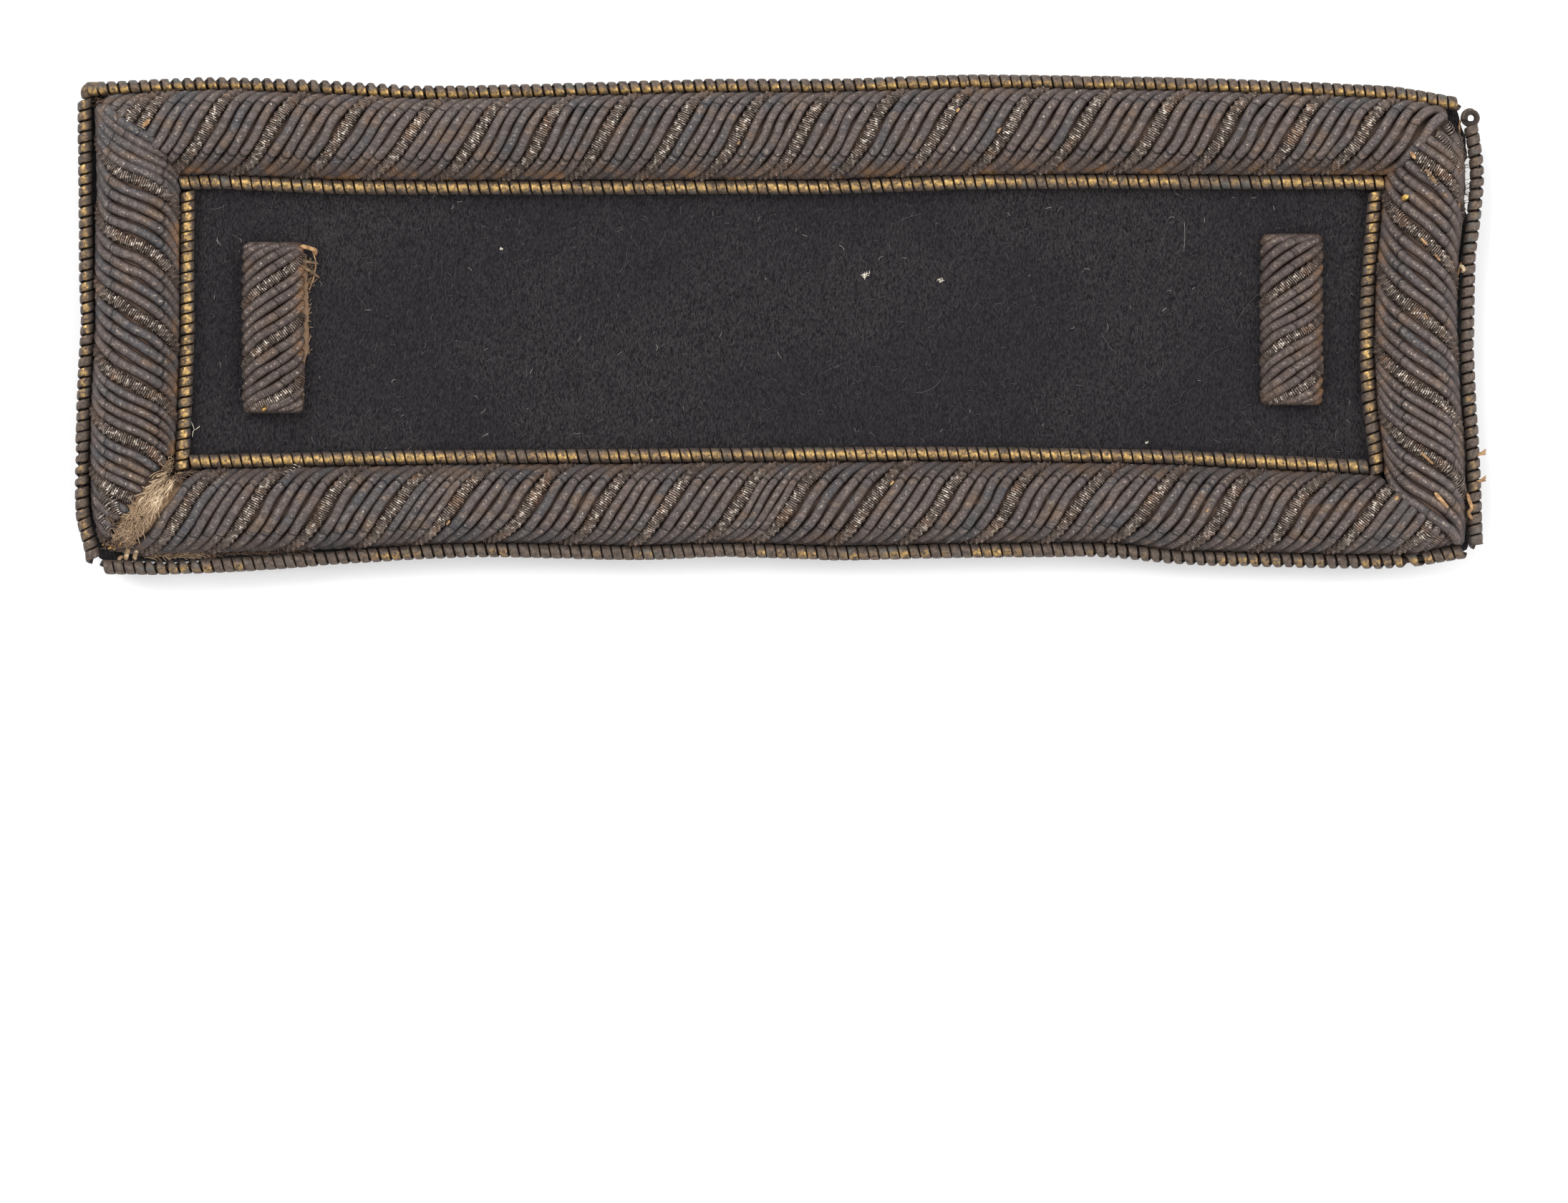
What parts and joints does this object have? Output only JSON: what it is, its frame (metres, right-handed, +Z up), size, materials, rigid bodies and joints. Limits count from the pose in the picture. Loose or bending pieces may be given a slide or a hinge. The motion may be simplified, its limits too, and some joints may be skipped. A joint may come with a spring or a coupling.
{
  "type": "shoulder board",
  "caption": "Flat rectangular shoulder board: dark wool field in a raised border of slanting wire strands edged with wire coil, and a small padded rank bar near each end.",
  "frame": {"origin": "middle of the back face, on the surface that the board lies on", "axes": "+X along the length, towards the right rank bar; +Y towards the top long side; +Z up, out of the embroidered face"},
  "size_m": [0.1032, 0.0366, 0.0052],
  "materials": {
    "backing_linen": "plain tan linen, coarse weave, frayed at the edge",
    "field_wool": "near-black fulled wool with a faint nap and light fibres",
    "padding_cotton": "loose tan cotton fibres",
    "bullion_wire": "fine coiled gilt wire, tarnished to dark grey-brown with coppery patches",
    "coil_wire": "flattened gilt wire wound in a coil, brown tarnish with brass highlights"
  },
  "bodies": {
    "root": {"backing_cloth": "backing_linen", "field_cloth": "field_wool", "padding_top": "padding_cotton", "padding_right": "padding_cotton", "padding_bottom": "padding_cotton", "padding_left": "padding_cotton", "border_top": "bullion_wire", "border_right": "bullion_wire", "border_bottom": "bullion_wire", "border_left": "bullion_wire", "outer_coil_top": "coil_wire", "outer_coil_right": "coil_wire", "outer_coil_bottom": "coil_wire", "outer_coil_left": "coil_wire", "inner_coil_top": "coil_wire", "inner_coil_right": "coil_wire", "inner_coil_bottom": "coil_wire", "inner_coil_left": "coil_wire", "rank_bar_left": "bullion_wire", "rank_bar_right": "bullion_wire", "bar_pad_left": "padding_cotton"}
  },
  "joints": []
}
